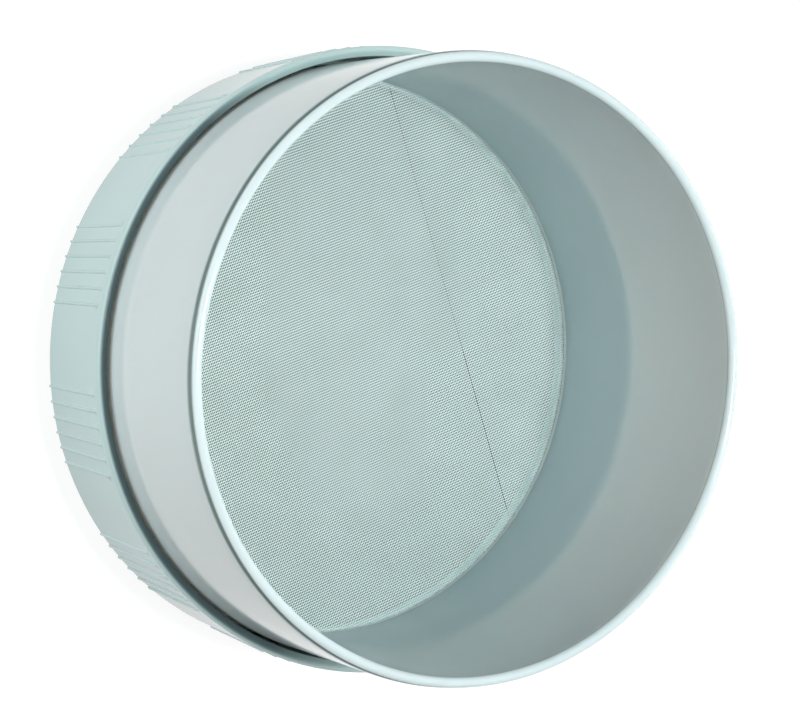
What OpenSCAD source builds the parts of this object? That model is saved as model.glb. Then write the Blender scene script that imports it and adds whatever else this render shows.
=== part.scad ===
// Tamis drum sieve: a beaded hoop screws down into a grip ring and clamps a framed wire mesh.
// Lengths are millimetres. The drum stands mesh down: +Z runs along its axis towards the beaded rim.
// The origin is the centre of the grip ring's foot.

/* [Hoop] */
// Outside diameter of the hoop where it leaves the grip ring
hoop_d = 210; // [180:1:300]
// Overall height from the ring's foot to the top of the rim
drum_h = 113.6; // [90:0.2:160]
// Thickness of the hoop's wall where it leaves the grip ring
wall_t = 2.7; // [2.4:0.1:3]
// How much narrower the outside radius is under the bead than at the grip ring
outer_draft = 0.5; // [0.2:0.1:1.2]
// How much narrower the inside radius is under the bead than at the mesh
inner_draft = 0.5; // [0:0.1:0.8]
// Thickness of the round bead along the rim
bead_d = 3.4; // [3:0.1:5]
// How far the bead's centre lies inside the middle of the wall
bead_shift = 0.85; // [0:0.05:1]
// Depth of the neck cut round the outside under the bead
neck_depth = 1.3; // [0.2:0.1:1.4]
// Height of the neck under the bead
neck_h = 1.6; // [1:0.2:4]
// How far the threaded skirt is set in from the hoop's outside
skirt_step = 0.6; // [0.3:0.1:0.8]
// Distance from the ring's shoulder down to the top of the skirt
skirt_top_gap = 3; // [1:0.5:8]
// Height of the chamfer at the skirt's lower edge
skirt_chamfer = 0.4; // [0.2:0.1:0.5]

/* [Grip ring] */
// Height of the grip ring
ring_h = 51; // [42:0.5:70]
// Width of the open gap between the ring and the hoop
lip_gap = 1.1; // [1:0.1:1.4]
// Thickness of the ring's wall at its lip
lip_wall_t = 3.7; // [2.8:0.1:6]
// Thickness of the ring's wall at its foot
foot_wall_t = 1.6; // [1.4:0.1:2.4]
// Radius of the rounded corner at the foot
foot_round = 2.6; // [1.5:0.1:3]
// Radius of the rounded edge at the lip
lip_round = 1.6; // [0.6:0.1:2]
// Fall of the shoulder from the lip towards the hoop
shoulder_drop = 0.9; // [0.2:0.1:1.5]
// Size of the bevel at the shoulder's inner edge
shoulder_bevel = 0.5; // [0.2:0.1:1]
// Thickness of the ledge that carries the mesh frame
ledge_t = 3.6; // [2.8:0.1:5]
// Width of the ledge
ledge_w = 3.1; // [2:0.1:5]
// Height of the narrow seat wall above the ledge
seat_wall_h = 4.4; // [4:0.2:8]

/* [Grip ribs] */
// Number of rib groups round the ring
rib_groups = 12; // [6:1:16]
// Number of ribs in a group
ribs_per_group = 6; // [2:1:6]
// Angle between neighbouring ribs of a group
rib_pitch_deg = 2.9; // [2.4:0.1:3.4]
// Angle of the first group's middle
rib_phase_deg = 18.75; // [0:0.25:30]
// Width of a rib
rib_w = 1.1; // [0.8:0.1:2]
// How far a rib stands proud of the ring's wall
rib_proud = 0.5; // [0.3:0.05:0.8]
// Distance from the lip down to the ribs' upper ends
rib_top_gap = 2.8; // [2:0.2:8]
// Length over which a rib fades out at its upper end
rib_top_fade = 3; // [1:0.5:6]
// Height of the ribs' lower ends above the foot
rib_foot_z = 0.6; // [0.4:0.1:3]
// Length over which a rib fades in at its lower end
rib_foot_fade = 1.2; // [0.6:0.1:3]

/* [Quick thread] */
// Number of thread starts
starts = 4; // [3:1:4]
// Travel along the axis in one full turn
lead = 48; // [44:1:60]
// Angle that one flight spans
flight_deg = 80; // [40:5:85]
// Radial height of a flight
flight_h = 1.4; // [1.2:0.1:1.5]
// Thickness of a flight at its root
flight_root_t = 3; // [2.4:0.1:3.4]
// Thickness of a flight at its crest
flight_crest_t = 2; // [1:0.1:2.2]
// Distance from the seat wall's top up to the lower ends of the hoop's flights
flight_start = 7; // [5:0.5:10]
// Free play between mating flights along the axis
flight_play = 0.3; // [0.2:0.05:0.6]

/* [Mesh screen] */
// Thickness of the woven wire cloth
cloth_t = 0.6; // [0.4:0.05:1]
// Width of the steel frame crimped round the cloth
frame_w = 1.8; // [1.4:0.1:2]
// Thickness of the frame's sheet steel
frame_t = 0.5; // [0.3:0.05:0.7]
// Number of openings across the cloth, which stand for the fine weave
cells_across = 12; // [6:1:12]
// Width of an opening as a share of the distance from one to the next
cell_share = 0.65; // [0.5:0.05:0.85]
// Angle that the wires lie at in the frame
weave_angle = 25; // [0:1:90]

/* [Seal] */
// Thickness of the seal's flat band
seal_t = 1.5; // [1:0.1:2.5]
// Width of the seal's tongue, which sits in the hoop's end groove
tongue_w = 0.7; // [0.5:0.1:0.8]
// Height of the seal's tongue
tongue_h = 0.9; // [0.5:0.1:1.5]

/* [Clearances] */
// Gap between faces that bear on each other
face_gap = 0.1; // [0.05:0.05:0.2]
// Gap round the seal's tongue in the hoop's groove
tongue_gap = 0.1; // [0.05:0.05:0.15]
// Gap between the mesh frame's edge and the ring's seat wall
frame_gap = 0.5; // [0.3:0.1:0.8]
// How far the seal's edge lies inside the skirt's outside
seal_inset = 0.3; // [0.2:0.1:0.5]

/* [Hidden] */
$fn = 180;
bead_fn = 48;
arc_steps = 12;

// Radii of the hoop
hoop_r = hoop_d / 2;
hoop_top_r = hoop_r - outer_draft;
bore_r = hoop_r - wall_t;
bore_top_r = bore_r - inner_draft;
skirt_r = hoop_r - skirt_step;
bead_r = bead_d / 2;
bead_circle_r = (hoop_top_r + bore_top_r) / 2 - bead_shift;
bead_z = drum_h - bead_r;

// Radii of the grip ring and of the thread's crests
ring_bore_r = hoop_r + lip_gap;
ring_top_r = ring_bore_r + lip_wall_t;
ring_foot_r = ring_bore_r + foot_wall_t;
crest_in_r = ring_bore_r - flight_h;
crest_out_r = skirt_r + flight_h;
ledge_r = crest_in_r - ledge_w;

// Heights of the stack that the ring and the hoop clamp
frame_z = ledge_t + face_gap;
cloth_z = frame_z + frame_t;
seal_z = cloth_z + cloth_t + frame_t + face_gap;
hoop_z = seal_z + seal_t + face_gap;

// Mesh frame and seal
frame_r = crest_in_r - frame_gap;
cloth_r = frame_r - frame_t;
clear_r = frame_r - frame_w;
cell_pitch = 2 * clear_r / cells_across;
seal_r = skirt_r - seal_inset;
groove_r = (bore_r + skirt_r - skirt_chamfer) / 2;

// Heights on the grip ring
seat_top_z = ledge_t + seat_wall_h;
shoulder_z = ring_h - shoulder_drop;
skirt_top_z = shoulder_z - skirt_top_gap;

// Draft of the ring's outer wall
wall_run = ring_top_r - ring_foot_r;
wall_tilt = atan(wall_run / ring_h);

// The neck meets the bead where its underside turns outwards
neck_meet = 0.55;
neck_top_z = bead_z - bead_r * neck_meet;
neck_z = neck_top_z - neck_h;

// Ribs start inside the wall and sink into it at their upper ends
rib_sink = 0.3;
rib_root_r = (ring_foot_r + ring_bore_r) / 2;
rib_span_deg = rib_pitch_deg * (ribs_per_group - 1);

// Flights bite into the walls that carry them, and their ends start low
root_bite = 0.4;
end_share = 0.35;
end_steps = 3;
flight_steps = 27;
flank_slope = (flight_root_t - flight_crest_t) / (flight_h + root_bite);
root_distance = ring_bore_r - skirt_r + 2 * root_bite;
flight_rise = lead * flight_deg / 360;
hoop_flight_z = seat_top_z + flight_start;
ring_flight_z = hoop_flight_z + flight_root_t - flank_slope * root_distance / 2 + flight_play;

function ring_wall_r(z) = ring_foot_r + wall_run * z / ring_h;
function round_centre_r(z, r) = ring_wall_r(z) - r / cos(wall_tilt);
function arc(cx, cy, r, a0, a1) = [
    for (i = [0:arc_steps]) let (a = a0 + (a1 - a0) * i / arc_steps) [cx + r * cos(a), cy + r * sin(a)]
];

// Radius and height of a flight's four corners, where k is the share of its full height
function flight_section(r0, r1, z, k) =
    let (
        tip_r = r0 + (r1 - r0) * k,
        tip_t = flight_root_t + (flight_crest_t - flight_root_t) * k
    )
    [
        [r0, z - flight_root_t / 2],
        [tip_r, z - tip_t / 2],
        [tip_r, z + tip_t / 2],
        [r0, z + flight_root_t / 2]
    ];

// Share of its full height that a flight has at step i
function flight_share(i) = min(1, end_share + (1 - end_share) * min(i, flight_steps - i) / end_steps);

function reversed(face) = [for (i = [len(face) - 1:-1:0]) face[i]];

// One thread flight: a closed strip wound up the helix from radius r0, in the wall, to radius r1
module flight(r0, r1, z0) {
    points = [
        for (i = [0:flight_steps])
            let (a = flight_deg * i / flight_steps)
            for (p = flight_section(r0, r1, z0 + flight_rise * i / flight_steps, flight_share(i)))
                [p[0] * cos(a), p[0] * sin(a), p[1]]
    ];
    sides = [
        for (i = [0:flight_steps - 1])
            for (j = [0:3])
                let (b = 4 * i, n = (j + 1) % 4)
                each [[b + j, b + n, b + 4 + n], [b + j, b + 4 + n, b + 4 + j]]
    ];
    last = 4 * flight_steps;
    caps = [[3, 2, 1, 0], [last, last + 1, last + 2, last + 3]];
    faces = concat(sides, caps);
    polyhedron(points, r1 > r0 ? faces : [for (f = faces) reversed(f)], convexity = 4);
}

module flights(r0, r1, z0) {
    for (i = [0:starts - 1])
        rotate([0, 0, 360 * i / starts])
            flight(r0, r1, z0);
}

// Hoop: drafted wall, round bead with a neck under it, and a threaded skirt
module hoop_profile() {
    polygon(concat(
        [[bore_r, hoop_z], [skirt_r - skirt_chamfer, hoop_z], [skirt_r, hoop_z + skirt_chamfer]],
        [[skirt_r, skirt_top_z], [hoop_r, skirt_top_z + skirt_step], [hoop_r, shoulder_z]],
        [
            for (i = [0:arc_steps])
                let (t = i / arc_steps)
                [hoop_top_r - neck_depth * (1 - cos(180 * t)) / 2, neck_z + neck_h * t]
        ],
        [[bead_circle_r, bead_z], [bore_top_r, neck_top_z]]
    ));
    translate([bead_circle_r, bead_z])
        circle(bead_r, $fn = bead_fn);
}

module end_groove() {
    translate([groove_r - tongue_w / 2 - tongue_gap, hoop_z - tongue_gap])
        square([tongue_w + 2 * tongue_gap, tongue_h + tongue_gap]);
}

module hoop() {
    color([0.84, 0.90, 0.90])
    union() {
        rotate_extrude(convexity = 6)
            difference() {
                hoop_profile();
                end_groove();
            }
        flights(skirt_r - root_bite, crest_out_r, hoop_flight_z);
    }
}

// Grip ring: drafted outer wall with grouped ribs, shoulder, thread and the ledge under the mesh
module ring_profile() {
    lip_z = ring_h - lip_round;
    polygon(concat(
        [[ledge_r, 0]],
        arc(round_centre_r(foot_round, foot_round), foot_round, foot_round, -90, -wall_tilt),
        arc(round_centre_r(lip_z, lip_round), lip_z, lip_round, -wall_tilt, 90),
        [[ring_bore_r + shoulder_bevel, shoulder_z], [ring_bore_r, shoulder_z - shoulder_bevel]],
        [[ring_bore_r, seat_top_z + flight_h], [crest_in_r, seat_top_z], [crest_in_r, ledge_t]],
        [[ledge_r, ledge_t]]
    ));
}

// Outline that every rib is cut to, so that it follows the drafted wall and fades out at both ends
module rib_envelope() {
    top_z = ring_h - rib_top_gap;
    fade_z = rib_foot_z + rib_foot_fade;
    polygon([
        [rib_root_r, 0],
        [ring_wall_r(rib_foot_z) - foot_round / 2, 0],
        [ring_wall_r(fade_z) + rib_proud, fade_z],
        [ring_wall_r(top_z - rib_top_fade) + rib_proud, top_z - rib_top_fade],
        [ring_wall_r(top_z) - rib_sink, top_z],
        [rib_root_r, top_z]
    ]);
}

module rib_bar() {
    translate([rib_root_r - rib_w, -rib_w / 2, rib_foot_z])
        cube([lip_wall_t + 2 * rib_w, rib_w, ring_h]);
}

module ribs() {
    intersection() {
        for (g = [0:rib_groups - 1])
            for (i = [0:ribs_per_group - 1])
                rotate([0, 0, rib_phase_deg + 360 * g / rib_groups - rib_span_deg / 2 + rib_pitch_deg * i])
                    rib_bar();
        rotate_extrude(convexity = 4)
            rib_envelope();
    }
}

module grip_ring() {
    color([0.80, 0.88, 0.87])
    union() {
        rotate_extrude(convexity = 6)
            ring_profile();
        ribs();
        flights(ring_bore_r + root_bite, crest_in_r, ring_flight_z);
    }
}

// Mesh frame: a steel channel crimped round the edge of the cloth
module mesh_frame() {
    color([0.70, 0.73, 0.74])
    rotate_extrude(convexity = 4)
        difference() {
            translate([frame_r - frame_w, frame_z])
                square([frame_w, cloth_t + 2 * frame_t]);
            translate([frame_r - frame_w - frame_t, cloth_z])
                square([frame_w, cloth_t]);
        }
}

// Openings of the cloth, as a plain grid that keeps the weave's open share
module cells() {
    intersection() {
        circle(clear_r);
        rotate(weave_angle)
            for (i = [0:cells_across - 1])
                for (j = [0:cells_across - 1])
                    let (x = (i + 0.5) * cell_pitch - clear_r, y = (j + 0.5) * cell_pitch - clear_r)
                    if (norm([x, y]) < clear_r - cell_pitch / 4)
                        translate([x, y])
                            square(cell_pitch * cell_share, center = true);
    }
}

// Wire mesh: the woven cloth at its full thickness
module wire_mesh() {
    color([0.74, 0.80, 0.79])
    translate([0, 0, cloth_z])
        linear_extrude(cloth_t, convexity = 8)
            difference() {
                circle(cloth_r);
                cells();
            }
}

// Seal ring: a flat soft band whose tongue sits in the groove of the hoop's lower end
module seal_ring() {
    color([0.88, 0.90, 0.88])
    rotate_extrude(convexity = 4)
        union() {
            translate([bore_r + face_gap, seal_z])
                square([seal_r - bore_r - face_gap, seal_t]);
            translate([groove_r - tongue_w / 2, seal_z])
                square([tongue_w, seal_t + face_gap + tongue_h - tongue_gap]);
        }
}

grip_ring();
mesh_frame();
wire_mesh();
seal_ring();
hoop();
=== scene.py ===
# Looks of the tamis drum sieve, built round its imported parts.
# Shapes are written in millimetres and become metres where their meshes are made.
import math

import bpy
import numpy as np
from mathutils import Matrix, Vector


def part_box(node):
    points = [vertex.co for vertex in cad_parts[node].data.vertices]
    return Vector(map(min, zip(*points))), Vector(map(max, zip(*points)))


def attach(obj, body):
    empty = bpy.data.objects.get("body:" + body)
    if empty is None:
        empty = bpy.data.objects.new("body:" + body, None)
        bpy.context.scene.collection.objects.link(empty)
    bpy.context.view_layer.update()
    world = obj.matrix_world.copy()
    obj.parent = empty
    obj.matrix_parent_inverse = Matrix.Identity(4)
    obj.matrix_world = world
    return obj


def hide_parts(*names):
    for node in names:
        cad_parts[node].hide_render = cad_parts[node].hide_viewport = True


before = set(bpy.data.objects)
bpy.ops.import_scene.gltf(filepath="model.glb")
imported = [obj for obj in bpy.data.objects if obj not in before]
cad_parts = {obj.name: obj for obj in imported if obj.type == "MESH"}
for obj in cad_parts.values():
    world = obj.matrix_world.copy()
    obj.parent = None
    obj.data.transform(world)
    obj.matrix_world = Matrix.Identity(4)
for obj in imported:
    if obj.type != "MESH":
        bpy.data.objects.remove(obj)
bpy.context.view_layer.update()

MM = 0.001


def box_mm(node):
    """Lowest and highest corner of a CAD node, in millimetres."""
    low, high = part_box(node)
    return low / MM, high / MM


# Heights and the cloth's radius, read from the frame
HOOP_Z, DRUM_H = (corner.z for corner in box_mm("hoop"))
RING_H = box_mm("grip_ring")[1].z
CLOTH_LOW, CLOTH_HIGH = (corner.z for corner in box_mm("wire_mesh"))
CLOTH_R = box_mm("wire_mesh")[1].x

# Hoop
HOOP_R = 105.0
HOOP_TOP_R = 104.5
BORE_R = 102.3
BORE_TOP_R = 101.8
BORE_BEVEL = 0.15
SKIRT_R = 104.4
SKIRT_TOP_Z = 47.1
SKIRT_BEVEL = 0.4
SKIRT_STEP_H = 0.6
BEAD_R = 1.7
BEAD_CIRCLE_R = 102.3
NECK_DEPTH = 1.3
NECK_H = 1.6
GROOVE_W = 0.9
GROOVE_H = 0.9
# Where the neck and the bore meet the bead, below its centre, as shares of its radius
NECK_MEETS_BEAD = 0.55
BORE_MEETS_BEAD = 0.97
# Share of the neck's curve that is free of the bead
NECK_FREE = 0.75
HOOP_SEGMENTS = 360

# Grip ring
RING_BORE_R = 106.1
RING_TOP_R = 109.8
RING_FOOT_R = 107.7
FOOT_ROUND = 2.6
LIP_ROUND = 1.6
LIP_FLAT = 0.2
LIP_DROP = 0.03
SHOULDER_DROP = 0.9
SHOULDER_BEVEL = 0.5
LEDGE_R = 101.6
LEDGE_T = 3.6
SEAT_TOP_Z = 8.0

# Grip ribs
RIB_GROUPS = 12
RIBS_PER_GROUP = 6
RIB_PITCH = 2.9
RIB_PHASE = 18.75
RIB_HALF_W = 0.55
RIB_PROUD = 0.5
RIB_START_Z = 0.25
RIB_FOOT_Z = 0.6
RIB_FULL_Z = 1.8
RIB_FADE_Z = RING_H - 5.8
RIB_TOP_Z = RING_H - 2.8
RIB_SINK = 0.3
# Cross-section of a rib: places across it from edge to edge, and its share of full height there
RIB_PLACES = np.array([-1, -0.86, -0.62, -0.3, 0.3, 0.62, 0.86, 1])
RIB_SHARES = np.array([0, 0.32, 0.78, 1, 1, 0.78, 0.32, 0])

# Thread
STARTS = 4
LEAD = 48.0
FLIGHT_DEG = 80.0
FLIGHT_H = 1.4
FLIGHT_ROOT_T = 3.0
FLIGHT_CREST_T = 2.0
FLIGHT_STEPS = 64
# A flight's ends have this share of its height and rise to the whole over 1/9 of its length
FLIGHT_END_SHARE = 0.35
FLIGHT_TAPERS = 9
# Softened edges of a flight's crest: their share of its height, and how far they run in and out
CREST_SOFT = 0.3
CREST_INSET = 0.3
CREST_FLARE = 0.1
ROOT_BITE = 0.4
HOOP_FLIGHT_Z = 15.0
RING_FLIGHT_Z = 17.5

# Woven wire
WIRE_D = 0.28
WARP_PITCH = 0.94
WEFT_PITCH = 0.70
WEAVE_ANGLE = 25.2
WIRE_SIDES = 6
WIRE_WANDER = 0.012
WIRE_END_GAP = 0.3
CROSSING_MARGIN = 0.1
# The seam across the cloth, where the weft wires on both sides lie off by a little
SEAM_AT = 54.2
SEAM_SHIFT = 0.2
WARP_SEED = 3
WEFT_SEED = 4
# Pieces that each layer of wires is cut into
BANDS = 8

# Painted shade and painted light: the side of the ring's shoulder that the hoop shades, and how much
# paler the painted light belt on the hoop is
SHADED_SIDE_DEG = 195.0
PAINTED_LIGHT_TINT = 1.17

# Where the floor turns from painted shade under the drum, darker and without the white light, to white
DULL_FLOOR_R = 104
WHITE_FLOOR_R = 107
FLOOR_REACH = 4000
FLOOR_DROP = 0.05
FLOOR_GLOW = 0.88

# Camera, fitted to the ellipses in the photograph
CAMERA_PLACE = (-0.3973, -0.0004, 0.7554)
CAMERA_RIGHT = (0.86377, 0.11078, 0.49151)
CAMERA_UP = (-0.09628, 0.99385, -0.05479)
CAMERA_BACK = (-0.49455, 0.0, 0.86911)
CAMERA_LENS = 104.04
SENSOR_W = 36


def points_mesh(name, points, quads, sharp_deg=40):
    """An object from points in millimetres and four-cornered faces; 0 degrees leaves no sharp edge."""
    mesh = bpy.data.meshes.new(name)
    mesh.vertices.add(len(points))
    mesh.vertices.foreach_set("co", np.ascontiguousarray(points * MM, np.float32).ravel())
    mesh.loops.add(quads.size)
    mesh.loops.foreach_set("vertex_index", np.ascontiguousarray(quads, np.int32).ravel())
    mesh.polygons.add(len(quads))
    mesh.polygons.foreach_set("loop_start", np.arange(0, quads.size, 4, dtype=np.int32))
    mesh.polygons.foreach_set("use_smooth", np.ones(len(quads), bool))
    mesh.update(calc_edges=True)
    mesh.validate()
    if sharp_deg:
        mesh.set_sharp_from_angle(angle=math.radians(sharp_deg))
    piece = bpy.data.objects.new(name, mesh)
    bpy.context.scene.collection.objects.link(piece)
    return piece


def grid_quads(rows, columns, close_rows=True):
    """Faces between neighbouring rows and columns of a grid of points stored row by row.

    The columns always close on themselves, and the rows do unless close_rows is off.
    """
    i = np.arange(rows if close_rows else rows - 1)[:, None]
    j = np.arange(columns)[None, :]
    i2 = (i + 1) % rows
    j2 = (j + 1) % columns
    corners = [i * columns + j, i2 * columns + j, i2 * columns + j2, i * columns + j2]
    return np.stack(corners, axis=-1).reshape(-1, 4)


def arc(r, z, radius, start_deg, end_deg, steps):
    """Points of a circle's arc about (r, z), both ends included."""
    angles = np.radians(np.linspace(start_deg, end_deg, steps + 1))
    return [(r + radius * math.cos(a), z + radius * math.sin(a)) for a in angles]


def line(start, end, steps):
    """Points from start up to, and without, end."""
    return [tuple(p) for p in np.linspace(start, end, steps + 1)[:-1]]


# Hoop: drafted wall, neck, round bead, threaded skirt and the groove in its lower end
def hoop_profile():
    bead_z = DRUM_H - BEAD_R
    neck_top_z = bead_z - BEAD_R * NECK_MEETS_BEAD
    neck_z = neck_top_z - NECK_H
    step_z = SKIRT_TOP_Z + SKIRT_STEP_H
    groove_r = (BORE_R + SKIRT_R - SKIRT_BEVEL) / 2
    groove_in, groove_out = groove_r - GROOVE_W / 2, groove_r + GROOVE_W / 2
    shoulder_z = RING_H - SHOULDER_DROP
    neck = [
        (HOOP_TOP_R - NECK_DEPTH * (1 - math.cos(math.pi * t)) / 2, neck_z + NECK_H * t)
        for t in np.linspace(0, NECK_FREE, 12)
    ]
    return np.array(
        [(BORE_R, HOOP_Z + BORE_BEVEL), (BORE_R + BORE_BEVEL, HOOP_Z)]
        + [(groove_in, HOOP_Z), (groove_in, HOOP_Z + GROOVE_H)]
        + [(groove_out, HOOP_Z + GROOVE_H), (groove_out, HOOP_Z)]
        + [(SKIRT_R - SKIRT_BEVEL, HOOP_Z)]
        + line((SKIRT_R, HOOP_Z + SKIRT_BEVEL), (SKIRT_R, SKIRT_TOP_Z), 8)
        + line((SKIRT_R, SKIRT_TOP_Z), (HOOP_R, step_z), 2)
        + line((HOOP_R, step_z), (HOOP_R, shoulder_z), 3)
        + line((HOOP_R, shoulder_z), (HOOP_TOP_R, neck_z), 16)
        + neck
        + arc(BEAD_CIRCLE_R, bead_z, BEAD_R, -50, 252, 44)
        + line((BORE_TOP_R, bead_z - BEAD_R * BORE_MEETS_BEAD), (BORE_R, HOOP_Z + BORE_BEVEL), 28)
    )


def lathe(name, profile, segments):
    """A closed profile of radii and heights turned round the drum's axis."""
    angles = np.linspace(0, 2 * math.pi, segments, endpoint=False)[:, None]
    r, z = profile[:, 0][None, :], profile[:, 1][None, :]
    points = np.stack([r * np.cos(angles), r * np.sin(angles), z + 0 * angles], axis=-1)
    return points_mesh(name, points.reshape(-1, 3), grid_quads(segments, len(profile)))


# Grip ring: drafted outer wall with its ribs raised in the same skin
def ring_wall_r(z):
    """Radius of the ring's plain outer wall at height z."""
    return RING_FOOT_R + (RING_TOP_R - RING_FOOT_R) * z / RING_H


def ring_profile():
    """The ring's outline, and how many of its points belong to the outer side."""
    tilt = math.degrees(math.atan((RING_TOP_R - RING_FOOT_R) / RING_H))
    slant = 1 / math.cos(math.radians(tilt))
    lip_z = RING_H - LIP_ROUND
    shoulder_z = RING_H - SHOULDER_DROP
    foot = arc(ring_wall_r(FOOT_ROUND) - FOOT_ROUND * slant, FOOT_ROUND, FOOT_ROUND, -90, -tilt, 12)
    lip = arc(ring_wall_r(lip_z) - LIP_ROUND * slant, lip_z, LIP_ROUND, -tilt, 90, 12)
    # Closer together where the ribs fade out
    heights = np.concatenate([np.linspace(4, RIB_FADE_Z, 8), RIB_FADE_Z + np.linspace(0.3, 2.1, 7)])
    wall = [(ring_wall_r(z), z) for z in heights]
    outer = foot + wall + lip
    bevel_r = RING_BORE_R + SHOULDER_BEVEL
    seat_r = RING_BORE_R - FLIGHT_H
    shoulder = line((lip[-1][0] - LIP_FLAT, RING_H - LIP_DROP), (bevel_r, shoulder_z), 4)
    inner = (
        arc(bevel_r, shoulder_z - SHOULDER_BEVEL, SHOULDER_BEVEL, 90, 180, 5)
        + line((RING_BORE_R, shoulder_z - 1.0), (RING_BORE_R, SEAT_TOP_Z + FLIGHT_H), 8)
        + line((RING_BORE_R, SEAT_TOP_Z + FLIGHT_H), (seat_r, SEAT_TOP_Z), 2)
        + line((seat_r, SEAT_TOP_Z), (seat_r, LEDGE_T), 2)
        + line((seat_r, LEDGE_T), (LEDGE_R, LEDGE_T), 2)
        + [(LEDGE_R, LEDGE_T), (LEDGE_R, 0)]
    )
    return np.array(outer + shoulder + inner), len(outer)


def rib_reach(z):
    """Radius of the ribs' outline at height z."""
    heights = [0, RIB_FULL_Z, RIB_FADE_Z, RIB_TOP_Z]
    radii = [
        ring_wall_r(RIB_FOOT_Z) - FOOT_ROUND / 2,
        ring_wall_r(RIB_FULL_Z) + RIB_PROUD,
        ring_wall_r(RIB_FADE_Z) + RIB_PROUD,
        ring_wall_r(RIB_TOP_Z) - RIB_SINK,
    ]
    return np.interp(z, heights, radii, left=0, right=0)


def ring_stations():
    """Angles round the ring in degrees and the rib's share of its full height at each of them."""
    half_deg = math.degrees(RIB_HALF_W / RING_TOP_R)
    group_deg = 360 / RIB_GROUPS
    ribs_deg = RIB_PITCH * (RIBS_PER_GROUP - 1)
    angles, shares = [], []
    for group in range(RIB_GROUPS):
        first = RIB_PHASE + group_deg * group - ribs_deg / 2
        for rib in range(RIBS_PER_GROUP):
            centre = first + RIB_PITCH * rib
            last_of_group = rib == RIBS_PER_GROUP - 1
            gap = group_deg - ribs_deg if last_of_group else RIB_PITCH
            points = 14 if last_of_group else 4
            between = np.linspace(centre + half_deg, centre + gap - half_deg, points)[1:-1]
            angles += [centre + half_deg * RIB_PLACES, between]
            shares += [RIB_SHARES, np.zeros(len(between))]
    return np.concatenate(angles), np.concatenate(shares)


def ring_body():
    """The ring's skin: its profile all round, raised to the ribs' outline where a rib stands."""
    profile, outer_count = ring_profile()
    angles, shares = ring_stations()
    r, z = profile[:, 0], profile[:, 1]
    lift = np.maximum(rib_reach(z) - r, 0) * (z >= RIB_START_Z) * (np.arange(len(r)) < outer_count)
    radius = r[None, :] + shares[:, None] * lift[None, :]
    a = np.radians(angles)[:, None]
    points = np.stack([radius * np.cos(a), radius * np.sin(a), z[None, :] + 0 * a], axis=-1)
    quads = grid_quads(len(angles), len(profile))
    return points_mesh("grip_ring_shell", points.reshape(-1, 3), quads, sharp_deg=62)


# Thread: one strip for each start, wound up a helix and low at both ends
def thread(name, root_r, crest_r, start_z):
    turn = np.linspace(0, 1, FLIGHT_STEPS + 1)
    rise = (1 - FLIGHT_END_SHARE) * np.minimum(turn, 1 - turn) * FLIGHT_TAPERS
    share = np.minimum(1, FLIGHT_END_SHARE + rise)[:, None]
    tip_r = root_r + (crest_r - root_r) * share
    tip_t = FLIGHT_ROOT_T + (FLIGHT_CREST_T - FLIGHT_ROOT_T) * share
    soft = CREST_SOFT * (tip_r - root_r)
    root = root_r + 0 * share
    radii = np.hstack([root, tip_r - soft, tip_r, tip_r, tip_r - soft, root])
    foot = -FLIGHT_ROOT_T / 2 + 0 * share
    lower = np.hstack([foot, -tip_t / 2 - CREST_FLARE, -tip_t / 2 + CREST_INSET])
    middle = (start_z + LEAD * FLIGHT_DEG / 360 * turn)[:, None]
    heights = np.hstack([middle + lower, middle - lower[:, ::-1]])
    sections, sides = radii.shape
    first_cap = [[0, 1, 4, 5], [1, 2, 3, 4]]
    last = (sections - 1) * sides
    last_cap = [[last + corner for corner in reversed(quad)] for quad in first_cap]
    faces = np.vstack([grid_quads(sections, sides, close_rows=False), first_cap, last_cap])
    if crest_r < root_r:
        faces = faces[:, ::-1]
    points, quads = [], []
    for start in range(STARTS):
        a = (np.radians(FLIGHT_DEG) * turn + 2 * math.pi * start / STARTS)[:, None]
        strip = np.stack([radii * np.cos(a), radii * np.sin(a), heights], axis=-1)
        points.append(strip.reshape(-1, 3))
        quads.append(faces + start * sections * sides)
    return points_mesh(name, np.vstack(points), np.vstack(quads))


# Woven wire: each wire is one tube that passes over and under the wires across it
def wire_offsets(pitch, seed):
    """Places of parallel wires across the cloth, none of them quite regular."""
    count = int(CLOTH_R / pitch)
    offsets = pitch * np.arange(-count, count + 1)
    return offsets + np.random.default_rng(seed).normal(0, WIRE_WANDER, len(offsets))


def wire_tube(at, others, index, over, cos_a, sin_a):
    """Points and faces of one wire at offset at, crossing the wires at others."""
    end = math.sqrt(max((CLOTH_R - WIRE_END_GAP) ** 2 - at ** 2, 0))
    inside = np.nonzero(np.abs(others) < end - CROSSING_MARGIN)[0]
    if len(inside) < 2:
        return None
    crossings = others[inside]
    side = np.where((inside + index) % 2 == 0, 1.0, -1.0) * over
    along = np.empty(2 * len(inside) + 1)
    height = np.zeros_like(along)
    along[1::2] = crossings
    height[1::2] = side * WIRE_D / 2
    along[2:-1:2] = (crossings[:-1] + crossings[1:]) / 2
    along[0], along[-1] = -end, end
    middle = (CLOTH_LOW + CLOTH_HIGH) / 2
    turns = np.linspace(0, 2 * math.pi, WIRE_SIDES, endpoint=False)
    u = along[:, None] + 0 * turns
    v = at + WIRE_D / 2 * np.cos(turns)[None, :] + 0 * u
    z = middle + height[:, None] + WIRE_D / 2 * np.sin(turns)[None, :]
    x = u * cos_a - v * sin_a
    y = u * sin_a + v * cos_a
    points = np.stack([x, y, z], axis=-1).reshape(-1, 3)
    rows = len(along)
    faces = grid_quads(rows, WIRE_SIDES, close_rows=False)[:, ::-1]
    half = WIRE_SIDES // 2
    fan = [[k, k + 1, WIRE_SIDES - 2 - k, WIRE_SIDES - 1 - k] for k in range(half - 1)]
    last = (rows - 1) * WIRE_SIDES
    first_cap = [quad[::-1] for quad in fan]
    last_cap = [[last + corner for corner in quad] for quad in fan]
    return points, np.vstack([faces, first_cap, last_cap])


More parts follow.
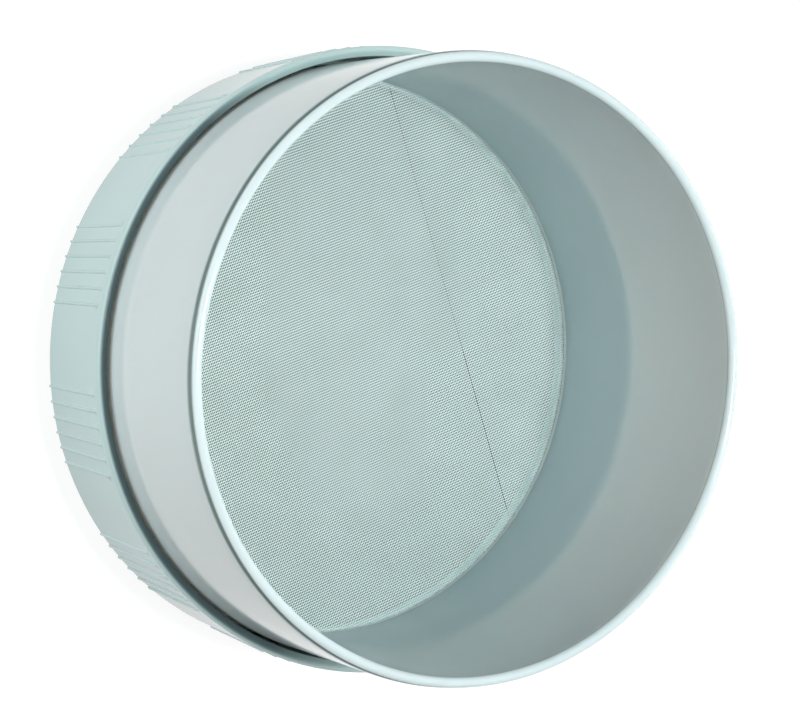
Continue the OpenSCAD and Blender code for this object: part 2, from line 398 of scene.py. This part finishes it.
def woven_wires(name, offsets, others, over, angle_deg):
    """One layer of wires, cut into bands of about as many faces each."""
    cos_a, sin_a = math.cos(math.radians(angle_deg)), math.sin(math.radians(angle_deg))
    made = []
    for index, at in enumerate(offsets):
        tube = wire_tube(at, others, index, over, cos_a, sin_a)
        if tube:
            made.append(tube)
    total = sum(len(faces) for _, faces in made)
    pieces, points, quads, base, done = [], [], [], 0, 0
    for tube_points, faces in made:
        points.append(tube_points)
        quads.append(faces + base)
        base += len(tube_points)
        done += len(faces)
        if done >= total * (len(pieces) + 1) / BANDS:
            band = f"{name}_{len(pieces) + 1}"
            pieces.append(points_mesh(band, np.vstack(points), np.vstack(quads), 0))
            points, quads, base = [], [], 0
    return pieces


def cloth():
    """The pieces of the warp and of the weft."""
    warp = wire_offsets(WARP_PITCH, WARP_SEED)
    weft = wire_offsets(WEFT_PITCH, WEFT_SEED)
    weft = weft + SEAM_SHIFT * np.sign(weft - SEAM_AT)
    warps = woven_wires("warp_wires", warp, weft, 1, WEAVE_ANGLE)
    wefts = woven_wires("weft_wires", weft, -warp[::-1], -1, WEAVE_ANGLE - 90)
    return warps, wefts


# Materials
def shader(name):
    material = bpy.data.materials.new(name)
    material.use_nodes = True
    return material, material.node_tree.nodes, material.node_tree.links


def noise(nodes, links, scale, detail, stretch=(1, 1, 1)):
    """Noise over the object, in turns per metre."""
    place = nodes.new("ShaderNodeTexCoord")
    scaled = nodes.new("ShaderNodeMapping")
    scaled.inputs["Scale"].default_value = stretch
    texture = nodes.new("ShaderNodeTexNoise")
    texture.inputs["Scale"].default_value = scale
    texture.inputs["Detail"].default_value = detail
    links.new(place.outputs["Object"], scaled.inputs["Vector"])
    links.new(scaled.outputs["Vector"], texture.inputs["Vector"])
    return texture.outputs["Fac"]


def ramp(nodes, links, source, stops):
    """Colours or grey values along a source; stops are pairs of place and colour."""
    node = nodes.new("ShaderNodeValToRGB")
    while len(node.color_ramp.elements) < len(stops):
        node.color_ramp.elements.new(0.5)
    for element, (place, colour) in zip(node.color_ramp.elements, stops):
        element.position = place
        element.color = (*colour, 1) if hasattr(colour, "__len__") else (colour, colour, colour, 1)
    links.new(source, node.inputs["Fac"])
    return node.outputs["Color"]


def bump(nodes, links, source, depth_mm, bsdf):
    node = nodes.new("ShaderNodeBump")
    node.inputs["Distance"].default_value = depth_mm * MM
    node.inputs["Strength"].default_value = 1
    links.new(source, node.inputs["Height"])
    links.new(node.outputs["Normal"], bsdf.inputs["Normal"])


def tint(colour, factor):
    return tuple(min(1, c * factor) for c in colour)


def uneven(nodes, links, colour, scale, detail, darkest, lightest):
    """A colour that drifts between a darker and a lighter tint of itself."""
    cloud = noise(nodes, links, scale, detail)
    return ramp(nodes, links, cloud, [(0.3, tint(colour, darkest)), (0.7, tint(colour, lightest))])


def blend(nodes, links, factor, first, second_colour):
    """A colour that turns into a second one where the factor is 1."""
    node = nodes.new("ShaderNodeMix")
    node.data_type = "RGBA"
    links.new(factor, node.inputs["Factor"])
    links.new(first, node.inputs["A"])
    node.inputs["B"].default_value = (*second_colour, 1)
    return node.outputs["Result"]


def merged(nodes, links, operation, first, second):
    """The result of one Math node on two values; the second may be a plain number."""
    node = nodes.new("ShaderNodeMath")
    node.operation = operation
    links.new(first, node.inputs[0])
    if isinstance(second, float):
        node.inputs[1].default_value = second
    else:
        links.new(second, node.inputs[1])
    return node.outputs["Value"]


def stretch_to_unit(nodes, links, source, low, high):
    """0 at low and 1 at high, along a source."""
    share = nodes.new("ShaderNodeMapRange")
    share.inputs["From Min"].default_value = low
    share.inputs["From Max"].default_value = high
    links.new(source, share.inputs["Value"])
    return share.outputs["Result"]


def vector_math(nodes, links, operation, source, other=None):
    """The outputs of one vector node on a source and, where it takes one, a fixed vector."""
    node = nodes.new("ShaderNodeVectorMath")
    node.operation = operation
    links.new(source, node.inputs[0])
    if other:
        node.inputs[1].default_value = other
    return node.outputs


def flat_place(nodes, links):
    """A surface point's place in metres, with its height left out."""
    place = nodes.new("ShaderNodeTexCoord").outputs["Object"]
    return vector_math(nodes, links, "MULTIPLY", place, (1, 1, 0))["Vector"]


def height_and_radius(nodes, links):
    """A surface point's height and its distance from the drum's axis, in metres."""
    parts = nodes.new("ShaderNodeSeparateXYZ")
    links.new(nodes.new("ShaderNodeTexCoord").outputs["Object"], parts.inputs["Vector"])
    radius = vector_math(nodes, links, "LENGTH", flat_place(nodes, links))
    return parts.outputs["Z"], radius["Value"]


def window(nodes, links, source, low_mm, full_mm, last_mm, high_mm):
    """1 between full and last, falling to 0 at low and high, along a length in metres."""
    share = stretch_to_unit(nodes, links, source, low_mm * MM, high_mm * MM)
    span = high_mm - low_mm
    stops = [(0.0, 0.0), ((full_mm - low_mm) / span, 1.0), ((last_mm - low_mm) / span, 1.0), (1.0, 0.0)]
    return ramp(nodes, links, share, stops)


def facing(nodes, links, azimuth_deg, none, full):
    """1 on the drum's side that faces an azimuth and 0 on the other; none and full are cosines."""
    azimuth = math.radians(azimuth_deg)
    outward = vector_math(nodes, links, "NORMALIZE", flat_place(nodes, links))["Vector"]
    side = (math.cos(azimuth), math.sin(azimuth), 0)
    towards = vector_math(nodes, links, "DOT_PRODUCT", outward, side)["Value"]
    return stretch_to_unit(nodes, links, towards, none, full)


def neck_painted_shade(nodes, links):
    """Painted shade on the hoop: darker in the neck and up the bead's outer flank, where shade falls.
    """
    height, radius = height_and_radius(nodes, links)
    neck = window(nodes, links, height, DRUM_H - 4.3, DRUM_H - 3.6, DRUM_H - 2.8, DRUM_H - 2.2)
    flank = window(nodes, links, height, DRUM_H - 3.0, DRUM_H - 2.5, DRUM_H - 1.8, DRUM_H - 0.9)
    outside = window(nodes, links, radius, 102.6, 103.3, 106.0, 107.0)
    return merged(nodes, links, "MAXIMUM", neck, merged(nodes, links, "MULTIPLY", flank, outside))


def shoulder_painted_shade(nodes, links):
    """Painted shade on the grip ring: darker on the shoulder between its lip and the hoop, on the side
    the hoop shades.
    """
    height, radius = height_and_radius(nodes, links)
    top = window(nodes, links, height, RING_H - 2.5, RING_H - 1.5, RING_H + 1.0, RING_H + 2.0)
    inside = window(nodes, links, radius, 105.0, 105.5, 108.4, 109.2)
    shaded_side = facing(nodes, links, SHADED_SIDE_DEG, 0.3, 0.55)
    return merged(nodes, links, "MULTIPLY", shaded_side, merged(nodes, links, "MULTIPLY", top, inside))


def painted_light_belt(nodes, links):
    """Painted light on the hoop: a paler belt outside, next to the grip ring's lip, that lifts the
    shade there.
    """
    height, radius = height_and_radius(nodes, links)
    belt = window(nodes, links, height, RING_H - 12, RING_H - 1, RING_H + 3, RING_H + 14)
    outside = window(nodes, links, radius, 103.2, 103.8, 106.0, 107.0)
    return merged(nodes, links, "MULTIPLY", belt, outside)


def plastic(name, colour, rough, grain_mm, glow, painted_shade, painted_shade_colour, painted_light=None):
    """Moulded plastic: slightly uneven colour, painted light and painted shade where masks are given,
    handled gloss, fine skin and light passing into it.
    """
    material, nodes, links = shader(name)
    bsdf = nodes["Principled BSDF"]
    skin = uneven(nodes, links, colour, 14, 4, 0.97, 1.03)
    # Painted light: a paler tint where a belt mask is given. Painted shade: the given dark colour where
    # the shade mask is 1.
    if painted_light:
        skin = blend(nodes, links, painted_light(nodes, links), skin, tint(colour, PAINTED_LIGHT_TINT))
    skin = blend(nodes, links, painted_shade(nodes, links), skin, painted_shade_colour)
    links.new(skin, bsdf.inputs["Base Color"])
    smear = noise(nodes, links, 45, 5, (1, 1, 0.4))
    gloss = ramp(nodes, links, smear, [(0.35, rough * 0.85), (0.75, rough * 1.25)])
    links.new(gloss, bsdf.inputs["Roughness"])
    bump(nodes, links, noise(nodes, links, 1400, 2), grain_mm, bsdf)
    bsdf.inputs["IOR"].default_value = 1.49
    bsdf.inputs["Specular IOR Level"].default_value = 0.25
    bsdf.inputs["Subsurface Weight"].default_value = glow
    bsdf.inputs["Subsurface Radius"].default_value = (1.0, 0.7, 0.55)
    bsdf.inputs["Subsurface Scale"].default_value = 24 * MM
    return material


def steel(name, colour, rough, grain_mm=0.0):
    """Bright steel with slightly uneven colour and fine scuffs."""
    material, nodes, links = shader(name)
    bsdf = nodes["Principled BSDF"]
    links.new(uneven(nodes, links, colour, 60, 3, 0.97, 1.03), bsdf.inputs["Base Color"])
    scuffs = noise(nodes, links, 900, 4)
    gloss = ramp(nodes, links, scuffs, [(0.3, rough * 0.8), (0.7, rough * 1.2)])
    links.new(gloss, bsdf.inputs["Roughness"])
    if grain_mm:
        bump(nodes, links, scuffs, grain_mm, bsdf)
    bsdf.inputs["Metallic"].default_value = 1.0
    return material


def rubber(name, colour):
    """Soft, matt silicone."""
    material, nodes, links = shader(name)
    bsdf = nodes["Principled BSDF"]
    links.new(uneven(nodes, links, colour, 70, 4, 0.94, 1.04), bsdf.inputs["Base Color"])
    bsdf.inputs["Roughness"].default_value = 0.55
    bsdf.inputs["Subsurface Weight"].default_value = 0.3
    bsdf.inputs["Subsurface Scale"].default_value = 1.5 * MM
    bump(nodes, links, noise(nodes, links, 2500, 2), 0.02, bsdf)
    return material


# Stage: floor, sky, lamps and camera
def white_to_the_camera(nodes, links, dull, output, share):
    """Mixes white light into a shader for camera, glossy and transmission rays."""
    rays = nodes.new("ShaderNodeLightPath").outputs
    seen = merged(nodes, links, "MAXIMUM", rays["Is Camera Ray"], rays["Is Glossy Ray"])
    seen = merged(nodes, links, "MAXIMUM", seen, rays["Is Transmission Ray"])
    white = nodes.new("ShaderNodeEmission")
    links.new(merged(nodes, links, "MULTIPLY", seen, share), white.inputs["Strength"])
    both = nodes.new("ShaderNodeAddShader")
    links.new(dull, both.inputs[0])
    links.new(white.outputs[0], both.inputs[1])
    links.new(both.outputs[0], output)


def floor():
    """White round the drum, and a painted shade under it, darker and without the white light, seen
    through the cloth.
    """
    corners = np.array([(-1, -1, 0), (1, -1, 0), (1, 1, 0), (-1, 1, 0)]) * FLOOR_REACH
    ground = points_mesh("floor", corners - np.array([0, 0, FLOOR_DROP]), np.array([[0, 1, 2, 3]]), 0)
    material, nodes, links = shader("floor_white")
    nodes.remove(nodes["Principled BSDF"])
    place = nodes.new("ShaderNodeTexCoord").outputs["Object"]
    distance = vector_math(nodes, links, "LENGTH", place)["Value"]
    open_floor = stretch_to_unit(nodes, links, distance, DULL_FLOOR_R * MM, WHITE_FLOOR_R * MM)
    matt = nodes.new("ShaderNodeBsdfDiffuse")
    # Painted shade: the floor is darker under the drum than round it.
    links.new(ramp(nodes, links, open_floor, [(0.0, 0.12), (1.0, 0.2)]), matt.inputs["Color"])
    glow = merged(nodes, links, "MULTIPLY", open_floor, FLOOR_GLOW)
    output = nodes["Material Output"].inputs["Surface"]
    white_to_the_camera(nodes, links, matt.outputs[0], output, glow)
    ground.data.materials.append(material)


def sky(level):
    """An even sky: white to the camera, and at a low level to what it lights."""
    world = bpy.data.worlds.new("studio")
    bpy.context.scene.world = world
    world.use_nodes = True
    nodes, links = world.node_tree.nodes, world.node_tree.links
    background = nodes["Background"]
    background.inputs["Color"].default_value = (0.93, 0.98, 1.0, 1)
    background.inputs["Strength"].default_value = level
    output = nodes["World Output"].inputs["Surface"]
    white_to_the_camera(nodes, links, background.outputs[0], output, 1.0 - level)


def panel(name, place, target, width, height, watts, colour):
    """A soft rectangular lamp that faces a target."""
    lamp = bpy.data.lights.new(name, "AREA")
    lamp.shape = "RECTANGLE"
    lamp.size, lamp.size_y = width, height
    lamp.energy = watts
    lamp.color = colour
    holder = bpy.data.objects.new(name, lamp)
    bpy.context.scene.collection.objects.link(holder)
    aim = Vector(target) - Vector(place)
    holder.matrix_world = Matrix.Translation(place) @ aim.to_track_quat("-Z", "Y").to_matrix().to_4x4()


def camera():
    lens = bpy.data.cameras.new("photo_camera")
    lens.sensor_fit = "HORIZONTAL"
    lens.sensor_width = SENSOR_W
    lens.lens = CAMERA_LENS
    lens.clip_start = 0.01
    lens.clip_end = 30
    holder = bpy.data.objects.new("photo_camera", lens)
    bpy.context.scene.collection.objects.link(holder)
    turn = Matrix((CAMERA_RIGHT, CAMERA_UP, CAMERA_BACK)).transposed().to_4x4()
    holder.matrix_world = Matrix.Translation(CAMERA_PLACE) @ turn
    bpy.context.scene.camera = holder


def lights():
    """Low lamps and a broad fill on the left, a warm one on the right and a small one overhead."""
    sky(0.11)
    panel("left_panel", (-1.36, 0.45, 0.08), (0, 0, 0.06), 1.6, 0.16, 10.2, (0.97, 1.0, 1.0))
    panel("left_fill", (-1.2, -0.15, 0.76), (0.05, 0, 0.06), 2.2, 0.3, 7.6, (0.98, 1.0, 1.0))
    panel("right_panel", (1.29, 0.1, 0.66), (0, 0, 0.08), 1.6, 0.4, 12, (1.0, 0.94, 0.87))
    panel("top_panel", (0.07, 0.03, 1.6), (0, 0, 0.03), 0.22, 0.22, 22.5, (0.96, 1.0, 1.0))


def dress(piece, body, slot, material, *nodes):
    """Puts a finer piece in the place of CAD nodes, on their body and with a material; the slot
    argument is not used.
    """
    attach(piece, body)
    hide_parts(*nodes)
    piece.data.materials.clear()
    piece.data.materials.append(material)


def repaint(node, material):
    """Gives a CAD node that keeps its own shape a better finish."""
    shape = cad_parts[node]
    if not shape.material_slots:
        shape.data.materials.append(material)
    for holder in shape.material_slots:
        holder.material = material


# Build
camera()
lights()
floor()

# The hoop gets painted shade in its neck and painted light in a paler belt by the ring's lip; the ring
# gets painted shade on one side of its shoulder. The dark colours given are that painted shade.
hoop_skin = plastic(
    "hoop_plastic", (0.57, 0.66, 0.67), rough=0.11, grain_mm=0.004, glow=0.35,
    painted_shade=neck_painted_shade, painted_shade_colour=(0.13, 0.21, 0.21), painted_light=painted_light_belt,
)
ring_skin = plastic(
    "ring_plastic", (0.52, 0.68, 0.67), rough=0.16, grain_mm=0.012, glow=0.0,
    painted_shade=shoulder_painted_shade, painted_shade_colour=(0.13, 0.19, 0.2),
)
# Warp and weft are the same steel: the weft is a darker copy, painted shade for the light falling less
# on it than on the warp's raised knuckles.
warp_skin = steel("warp_steel", (0.88, 1.0, 0.985), 0.36)
weft_skin = steel("weft_steel", (0.79, 0.94, 0.92), 0.36)
frame_skin = steel("frame_steel", (0.72, 0.75, 0.76), 0.28, 0.01)
seal_skin = rubber("seal_silicone", (0.78, 0.82, 0.80))

hoop_shell = lathe("hoop_shell", hoop_profile(), HOOP_SEGMENTS)
dress(hoop_shell, "hoop", "hoop_plastic", hoop_skin, "hoop")
hoop_thread = thread("hoop_thread", SKIRT_R - ROOT_BITE, SKIRT_R + FLIGHT_H, HOOP_FLIGHT_Z)
dress(hoop_thread, "hoop", "hoop_plastic", hoop_skin, "hoop")
dress(ring_body(), "grip_ring", "ring_plastic", ring_skin, "grip_ring")
ring_thread = thread("ring_thread", RING_BORE_R + ROOT_BITE, RING_BORE_R - FLIGHT_H, RING_FLIGHT_Z)
dress(ring_thread, "grip_ring", "ring_plastic", ring_skin, "grip_ring")
warps, wefts = cloth()
for wires in warps:
    dress(wires, "screen", "mesh_steel", warp_skin, "wire_mesh")
for wires in wefts:
    dress(wires, "screen", "mesh_steel", weft_skin, "wire_mesh")
repaint("mesh_frame", frame_skin)
repaint("seal_ring", seal_skin)

bpy.context.scene.view_settings.view_transform = "Standard"
